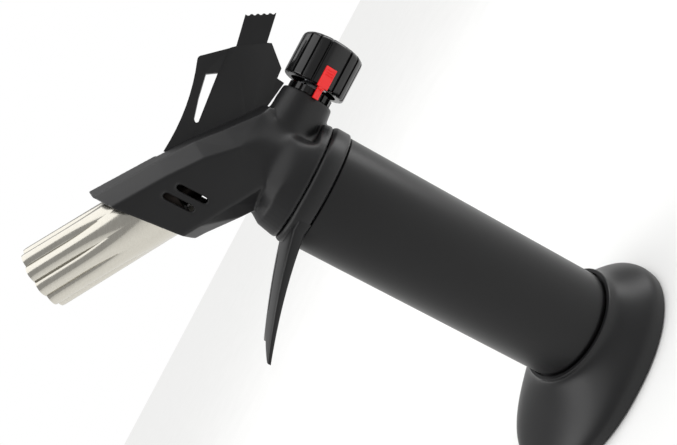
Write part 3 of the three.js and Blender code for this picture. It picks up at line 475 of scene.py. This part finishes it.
def foot_section():
    """Share, inset and height: neck lip, flare, rim, hollow, floor, fill port, neck bore."""
    floor_base, floor_top = foot_high - FLOOR_BASE, foot_high - FLOOR_TOP
    heights = np.linspace(1, 0, 60)
    outside = [(flare(h), 0.0, foot_low + h * (foot_high - foot_low)) for h in heights]
    outside[0] = (0.0, NECK_CHAMFER, foot_high)
    inside_heights = np.linspace(0, (floor_base - foot_low) / (foot_high - foot_low), 24)
    inside = [(flare(h), FOOT_WALL, foot_low + h * (foot_high - foot_low)) for h in inside_heights]
    port = [(0.0, NECK_R - r, z) for r, z in ((PORT_R, floor_base),
            (PORT_R, foot_low + PORT_LIFT), (FILL_HOLE_R, foot_low + PORT_LIFT),
            (FILL_HOLE_R, floor_top), (TANK_R + NECK_CLEARANCE, floor_top),
            (TANK_R + NECK_CLEARANCE, foot_high))]
    return np.array(outside + inside + port).T


shares, insets, foot_heights = foot_section()


def foot_formula(angle, step):
    """A superellipse of power 2 at the neck to 2.2 at the rim, with its inset taken off."""
    share, inset, z = (row[step.astype(int)] for row in (shares, insets, foot_heights))
    half_length = NECK_R + (FOOT_HALF_LENGTH - NECK_R) * share - inset
    half_width = NECK_R + (FOOT_HALF_WIDTH - NECK_R) * share - inset
    power = 2 / (2 + 0.2 * share)
    cosine, sine = np.cos(angle), np.sin(angle)
    x = half_length * np.sign(cosine) * np.abs(cosine) ** power
    y = half_width * np.sign(sine) * np.abs(sine) ** power
    return TANK_X + (FOOT_CENTRE - TANK_X) * share + x, y, z


foot = surface("foot_skin", foot_formula, turns(TURN_STEPS), np.arange(len(shares)), wrap_v=True)
settle(foot, "body", "base")

# %% [markdown]
# ## The fluted burner tube
# The tube is round where it leaves the socket, and a forming tool presses ten flutes into its
# mouth. The radius is the tube's radius less a flute depth that grows along the tube, times a
# pattern that is 0 on a lobe and 1 in a groove. Outer and inner wall are two passes of one
# formula.

# %% Draw the burner tube
TUBE_WALL = 0.7
FLUTES = 10
tube_low, tube_high = span("nozzle_tube", BURNER_WAY)
tube_under, tube_over = span("nozzle_tube", BURNER_UP)
tube_centre_up = (tube_over + tube_under) / 2
TUBE_R = (tube_over - tube_under) / 2
TUBE_STEPS = 50
TUBE_LIP = 0.12
FLUTE_DEPTH = 1.5
FLUTE_START, FLUTE_FULL = 0.23, 0.75   # shares of the tube's length


def tube_formula(angle, step):
    """Along the burner from start to mouth and back inside; the flutes deepen by a smooth step."""
    share, wall = tube_rows[0][step.astype(int)], tube_rows[1][step.astype(int)]
    grow = np.clip((share - FLUTE_START) / (FLUTE_FULL - FLUTE_START), 0, 1)
    groove = 1 - np.abs(np.cos(FLUTES * angle / 2)) ** 0.8
    radius = TUBE_R - wall - FLUTE_DEPTH * grow * grow * (3 - 2 * grow) * groove
    along = tube_low + share * (tube_high - tube_low)
    up = tube_centre_up + radius * np.cos(angle)
    return (along * BURNER_WAY[0] + up * BURNER_UP[0], radius * np.sin(angle),
            along * BURNER_WAY[2] + up * BURNER_UP[2])


out_and_back = np.linspace(0, 1, TUBE_STEPS)
one_wall = np.zeros(TUBE_STEPS - 1)
tube_rows = np.array([
    np.concatenate([out_and_back, [1.0], out_and_back[::-1]]),
    np.concatenate([one_wall, [TUBE_LIP, TUBE_WALL / 2, TUBE_WALL - TUBE_LIP],
                    one_wall + TUBE_WALL])])
burner_tube = surface("burner_tube_skin", tube_formula, turns(FLUTES * 24),
                      np.arange(tube_rows.shape[1]), wrap_v=True, sharp_degrees=50)
settle(burner_tube, "body", "nozzle_tube")

# %% [markdown]
# ## The ribbed knob
# The knob is a turned shape with a hollow front. Its ribs are wide, with a narrow groove every 20
# degrees, and one rib is three times as wide: the plain panel that carries the lock. A groove is
# a notch in the radius, so the radius depends on the angle to the nearest groove line. A Boolean
# then cuts the slot that the lock's foot slides in.

# %% Turn the knob
knob_start, knob_end = span("knob", KNOB_WAY)
knob_low, knob_high = span("knob", UP)
KNOB_R = span("knob", ACROSS)[1]
KNOB_Z = (knob_low + knob_high) / 2
RIB_PITCH = math.radians(20)
PANEL_TURN = math.radians(-10)         # the panel's middle, below the -Y direction
GROOVE_HALF, GROOVE_DEPTH = 0.5, 0.8
RIBS = 18
SHAFT_R = 3.05
KNOB_CAP = 3.3                         # between the shaft's end and the knob's face
KNOB_BORE_R, KNOB_BORE_DEPTH = 8.5, 6
GROOVE_FLOOR_R = 8.6                   # no groove goes deeper than this radius
MOUTH_STEP = 5.5                       # profile steps beyond this one are on the outside
knob_profile = np.array([
    (0.0, knob_end - KNOB_CAP), (SHAFT_R, knob_end - KNOB_CAP),
    (SHAFT_R, knob_start + KNOB_BORE_DEPTH), (KNOB_BORE_R, knob_start + KNOB_BORE_DEPTH),
    (KNOB_BORE_R, knob_start), (KNOB_R - 1.0, knob_start), (KNOB_R - 0.45, knob_start + 0.12),
    (KNOB_R - 0.12, knob_start + 0.45), (KNOB_R, knob_start + 1.0), (KNOB_R, knob_end - 2.9),
    (KNOB_R - 0.15, knob_end - 2.1), (KNOB_R - 0.6, knob_end - 1.5),
    (KNOB_R - 1.3, knob_end - 1.05),
    (KNOB_R - 2.2, knob_end - 0.8), (KNOB_R / 2, knob_end - 0.15), (0.0, knob_end)])


def knob_formula(angle, step):
    """The profile's radius less the grooves; angle 0 is the panel's middle."""
    radius = np.interp(step, np.arange(len(knob_profile)), knob_profile[:, 0])
    x = np.interp(step, np.arange(len(knob_profile)), knob_profile[:, 1])
    nearest = np.round(angle / RIB_PITCH) * RIB_PITCH
    away = np.abs(angle - nearest) * KNOB_R
    is_rib = (np.abs((angle + np.pi) % (2 * np.pi) - np.pi) > RIB_PITCH * 0.6)
    notch = GROOVE_DEPTH * np.clip(1 - (away / GROOVE_HALF) ** 4, 0, 1) * is_rib
    outside = (step > MOUTH_STEP) & (radius > KNOB_R - 3)
    cut = np.minimum(radius, np.maximum(radius - notch, GROOVE_FLOOR_R))
    radius = np.where(outside, cut, radius)
    around = angle + PANEL_TURN
    return x, -radius * np.cos(around), KNOB_Z + radius * np.sin(around)


groove_edges = np.array([-1.0, -0.94, -0.8, -0.4, 0.0, 0.4, 0.8, 0.94, 1.0]) * GROOVE_HALF / KNOB_R
rib_crown = np.array([0.3, 0.5, 0.7]) * RIB_PITCH
knob_angles = np.concatenate([k * RIB_PITCH + np.concatenate([groove_edges, rib_crown])
                              for k in range(RIBS)])
knob_steps = np.unique(np.concatenate([np.arange(len(knob_profile)), np.linspace(13, 14, 4),
                                       np.linspace(14, 15, 5), [8.25, 8.5, 8.75]]))
knob_skin = surface("knob_skin", knob_formula, knob_angles, knob_steps)

# The lock's foot runs in a slot that is open at the knob's near end.
SLOT_HALF, SLOT_INSIDE, SLOT_LENGTH = 1.3, 8.0, 5.9
slot_sides = np.array([1, -1, -1, 1]) * SLOT_HALF
slot_x = knob_start + np.array([SLOT_LENGTH, SLOT_LENGTH, -1.0, -1.0])


def slot_formula(corner, depth):
    """A block through the knob's wall at the panel's middle."""
    side, x = slot_sides[corner.astype(int)], slot_x[corner.astype(int)]
    return (x, -depth * math.cos(PANEL_TURN) + side * math.sin(PANEL_TURN),
            KNOB_Z + depth * math.sin(PANEL_TURN) + side * math.cos(PANEL_TURN))


slot_block = surface("lock_slot", slot_formula, np.arange(4), np.array([SLOT_INSIDE, KNOB_R + 1]))
combine(knob_skin, slot_block, "DIFFERENCE")
settle(knob_skin, "knob", "knob")

# %% [markdown]
# ## The finger guard
# A bill keeps the fingers off the hot tube. It is moulded in one with the collar band, so two
# surfaces are drawn and joined: the band turned round the tank, and the bill swept out and down
# from it, arched a little across. A Boolean joins them, then cuts the slot and the V in the end.

# %% Shape the band and the bill
guard_low, guard_high = span("finger_guard", UP)
guard_tip, guard_back = span("finger_guard", KNOB_WAY)
BAND_R = guard_back - TANK_X
SEAM = 0.3                             # between the tank and the pieces round it
COLLAR_WALL = 2.1
band_low = tank_high + SEAM
core_r = TANK_R - COLLAR_WALL
GUARD_TIP = TANK_X - guard_tip
GUARD_HALF = 15.5
GUARD_DROP = 14.5
ROOT = TANK_R * 0.72                   # where the bill leaves the band's level
ROOT_INSIDE = TANK_R * 0.55            # where it starts, inside the band
ROOT_HALF = TANK_R * 0.88              # half its width there
BILL_SINK = 0.6                        # of its root below the band's top
BILL_TIP = 1.7                         # thickness at the tips
BILL_ARCH = 1.3                        # how far its sides hang below its middle
band_profile = np.array([
    (core_r, band_low), (BAND_R - 0.9, band_low), (BAND_R - 0.5, band_low + 0.08),
    (BAND_R - 0.12, band_low + 0.4), (BAND_R, band_low + 0.9), (BAND_R, guard_high - 1.5),
    (BAND_R - 0.2, guard_high - 0.9), (BAND_R - 0.6, guard_high - 0.35),
    (BAND_R - 1.1, guard_high), (core_r, guard_high)]).T
band = surface("guard_band", turned_about_tank(band_profile), turns(TURN_STEPS),
               np.arange(band_profile.shape[1]), wrap_v=True)


def bill_formula(around, t):
    """Across is a flattened ring: top from side to side, then the underside back again."""
    out = -ROOT_INSIDE - (GUARD_TIP - ROOT_INSIDE) * t
    half = ROOT_HALF + (GUARD_HALF - ROOT_HALF) * np.sin(t * np.pi / 2)
    run = np.clip((-out - ROOT) / (GUARD_TIP - ROOT), 0, 1)
    top = guard_high - BILL_SINK - GUARD_DROP * (0.75 * run + 0.25 * run * run)
    thick = (guard_high - band_low - BILL_SINK) * (1 - t ** 0.8) + BILL_TIP * t ** 0.8
    arch = BILL_ARCH * (1 - 0.6 * t)
    cosine, sine = np.cos(around), np.sin(around)
    across = np.sign(cosine) * np.abs(cosine) ** 0.35
    lift = np.sign(sine) * np.abs(sine) ** 0.35
    level = top - thick / 2 + lift * thick / 2 - arch * across ** 2
    return TANK_X + out, half * across, level


bill = surface("guard_bill", bill_formula, turns(96), np.linspace(0, 1, 40))
print("band and bill drawn:", len(band.data.polygons), "and", len(bill.data.polygons), "faces")

# %% Join them and cut the slot and the V
GUARD_SLOT_HALF = 1.1
GUARD_SLOT_REACH = 14.0                # from the tips back to the slot's end
GUARD_NOTCH = 5.0
TIP_WIDTH = 1.2


def plain_prism(name, outline, low, high):
    """A cutter: an outline in plan, as x and y points, carried straight up."""
    plan = np.array(outline, float)

    def formula(corner, z):
        at = corner.astype(int)
        return plan[at, 0], plan[at, 1], z
    return surface(name, formula, np.arange(len(plan)), np.array([low, high]))


def disc_outline(radius):
    """A round outline about the tank's axis."""
    return [(radius * math.cos(a) + TANK_X, radius * math.sin(a)) for a in turns(96)]


slot_front, slot_back = guard_tip + GUARD_SLOT_REACH, TANK_X - TANK_R - 5
swing = np.linspace(-np.pi / 2, np.pi / 2, 9)
round_end = [(GUARD_SLOT_HALF * math.cos(a), GUARD_SLOT_HALF * math.sin(a)) for a in swing]
slot_outline = ([(slot_back + x, y) for x, y in round_end]
                + [(slot_front - x, -y) for x, y in round_end])
vee_half = (GUARD_HALF - TIP_WIDTH) * (GUARD_NOTCH + 1) / GUARD_NOTCH
vee = [(guard_tip - 1, -vee_half), (guard_tip + GUARD_NOTCH, 0), (guard_tip - 1, vee_half)]
well_below, well_above = band_low - 30, guard_high + 5
combine(band, bill, "UNION")
for name, outline, top in (("core_cut", disc_outline(core_r), well_above),
                           ("tank_cut", disc_outline(TANK_R + SEAM), band_low),
                           ("slot_cut", slot_outline, well_above), ("vee_cut", vee, well_above)):
    combine(band, plain_prism(name, outline, well_below, top), "DIFFERENCE")
band.name = band.data.name = "finger_guard_skin"
finish_mesh(band.data, 40)
settle(band, "body", "finger_guard")

# %% [markdown]
# ## The head shells
# Two moulded shells meet on the middle plane and make the hood over the burner, the shoulder over
# the collar and the stub behind the knob. On the real head these three flow into each other with
# generous fillets. A shell is rebuilt from even cells 0.4 mm wide, and then every point is moved
# towards its neighbours: a few rounds everywhere round the corners, and many rounds at the
# shoulder melt the hood into the dome.

# %% Rebuild, then relax
CELL = 0.4
CORNER_ROUNDS = 4
SHOULDER_ROUNDS = 220
SHOULDER_REACH = 13.0
MELT_X, MELT_RISE = 7.0, 13.0          # the fillet's middle: behind the tank's axis, over the base
MELT_SIDE = 8.5                        # how far out from the middle plane it starts
MELT_FOOT = 1.5                        # how far above the base it starts
MELT_FADE = 3                          # it fades in over this length


def relax(points, edges, rounds, weight):
    """Moves each point by its weight towards the mean of its neighbours, again and again."""
    size = len(points)
    neighbours = np.bincount(edges.ravel(), minlength=size)
    for _ in range(rounds):
        mean = np.stack([(np.bincount(edges[:, 0], points[edges[:, 1], k], size)
                          + np.bincount(edges[:, 1], points[edges[:, 0], k], size)) / neighbours
                         for k in range(3)], axis=1)
        points = points + weight[:, None] * (mean - points)
    return points


def shoulder_weight(points):
    """1 where the hood meets the dome, falling to 0 at a set reach and at the flat base."""
    head_base = span("head_shell_left", UP)[0]
    middle = np.array([TANK_X + MELT_X, head_base + MELT_RISE])
    away = np.linalg.norm(points[:, [0, 2]] - middle, axis=1) / SHOULDER_REACH
    outward = np.clip((np.abs(points[:, 1]) - MELT_SIDE) / MELT_FADE, 0, 1)
    above = np.clip((points[:, 2] - head_base - MELT_FOOT) / MELT_FADE, 0, 1)
    return 0.5 * np.clip(1.4 * (1 - away ** 2), 0, 1) * outward * above


def moulded_copy(node, name):
    """A working shell rebuilt from even cells, with soft corners and a melted shoulder."""
    mesh = frame["nodes"][node].data.copy()
    mesh.materials.clear()
    finish_mesh(mesh, 180)
    piece = linked(name, mesh)
    cells = piece.modifiers.new("cells", "REMESH")
    cells.mode = "VOXEL"
    cells.voxel_size = CELL * MM
    piece.data = rebuilt = applied(piece)
    rebuilt.name = name
    flat = np.empty(len(rebuilt.vertices) * 3, np.float32)
    rebuilt.vertices.foreach_get("co", flat)
    pairs = np.empty(len(rebuilt.edges) * 2, np.int32)
    rebuilt.edges.foreach_get("vertices", pairs)
    points, pairs = flat.reshape(-1, 3).astype(float) / MM, pairs.reshape(-1, 2)
    points = relax(points, pairs, CORNER_ROUNDS, np.full(len(points), 0.5))
    points = relax(points, pairs, SHOULDER_ROUNDS, shoulder_weight(points))
    rebuilt.vertices.foreach_set("co", (points * MM).astype(np.float32).ravel())
    rebuilt.update()
    rebuilt.shade_smooth()
    return piece


for side in ("left", "right"):
    settle(moulded_copy(f"head_shell_{side}", f"head_{side}_skin"), "body", f"head_shell_{side}")

# %% [markdown]
# ## The lever and the lock
# The lever is a flat plate that stands between the shells, and the lock is a small red slider.
# Their working shapes are complete, so they are copied and their corners rounded, 0.3 mm on the
# plate and less on the slider.

# %% Round the lever and the lock
settle(rounded_copy("hold_lever", "lever_skin", 0.3), "lever", "hold_lever")
settle(rounded_copy("lock_slider", "lock_skin", 0.12, segments=2), "lock", "lock_slider")

# %% [markdown]
# ## A pale studio
# A pale floor in a white room. Black plastic shows its form only by what it mirrors, so two soft
# boxes stand at the sides, where their reflections run down the tank as pale bands with darkness
# between them. A very wide overhead light keeps the floor pale out to its edge. The room looks
# white, but it lights the torch only as a mid grey, or the black would wash out.

# %% Floor and surroundings
FLOOR_HALF = 4000.0
floor = surface("studio_floor", lambda x, y: (x, y, 0 * x), np.array([-FLOOR_HALF, FLOOR_HALF]),
                np.array([-FLOOR_HALF, FLOOR_HALF]), wrap_u=False)
paper, tree, shader = new_material("matt_paper", roughness=0.9)
mottle(tree, shader, "#f0f0ef", "#f5f5f4", 1.0, 0.01, (0.85, 0.95))
floor.data.materials.append(paper)

world = bpy.data.worlds.new("pale_room")
bpy.context.scene.world = world
world.use_nodes = True
air = world.node_tree
glow = air.nodes["Background"]
glow.inputs["Strength"].default_value = 1.0
seen_as = add(air, "ShaderNodeLightPath")
shade = add(air, "ShaderNodeMix", links={"Factor": (seen_as, "Is Camera Ray")}, data_type="RGBA")
shade.inputs["A"].default_value = linear("#b4b4b4")
shade.inputs["B"].default_value = linear("#ffffff")
air.links.new(shade.outputs["Result"], glow.inputs["Color"])
bpy.context.scene.view_settings.view_transform = "Standard"
print("floor and room ready")

# %% Soft lights


def soft_light(name, at, towards, size, watts):
    """An area light of size (width, height) in millimetres, aimed at a point."""
    lamp = bpy.data.lights.new(name, "AREA")
    lamp.shape = "RECTANGLE"
    lamp.size, lamp.size_y = size[0] * MM, size[1] * MM
    lamp.energy = watts
    holder = linked(name, lamp)
    way = Vector(towards) - Vector(at)
    holder.rotation_euler = way.to_track_quat("-Z", "Y").to_euler()
    holder.location = Vector(at) * MM


heart = (TANK_X, 0.0, 100.0)
soft_light("key", (-420, 60, 560), heart, (420, 420), 1.3)
soft_light("fill", (520, 40, 200), heart, (200, 520), 1.4)
overhead = bpy.data.lights.new("overhead", "SUN")
overhead.energy = 1.7
overhead.angle = math.radians(80)
linked("overhead", overhead)
print("three soft lights")

# %% [markdown]
# ## The camera
# The torch is seen from its left side, a little above the collar, with the camera rolled so that
# the tank runs down to the right. The camera's own right and back are given, and its up follows
# from them. The focal length is for a sensor 36 mm wide.

# %% Place the camera
camera_data = bpy.data.cameras.new("view")
camera_data.sensor_width = 36.0
camera_data.lens = 34.07
camera_data.clip_start, camera_data.clip_end = 0.01, 50.0
camera = linked("view", camera_data)
right = Vector((0.4685, -0.1497, -0.8707)).normalized()
back = Vector((-0.0057, -0.9860, 0.1664))
back = (back - right * back.dot(right)).normalized()
upward = back.cross(right)
turn = Matrix((right, upward, back)).transposed().to_4x4()
camera.matrix_world = Matrix.Translation(Vector((2.65, -220.7, 148.8)) * MM) @ turn
bpy.context.scene.camera = camera
print("camera at", [round(c / MM, 1) for c in camera.location])

# %% [markdown]
# ## The end
# The skins must stay inside the working model's box.

# %% Finish
print("scene built")
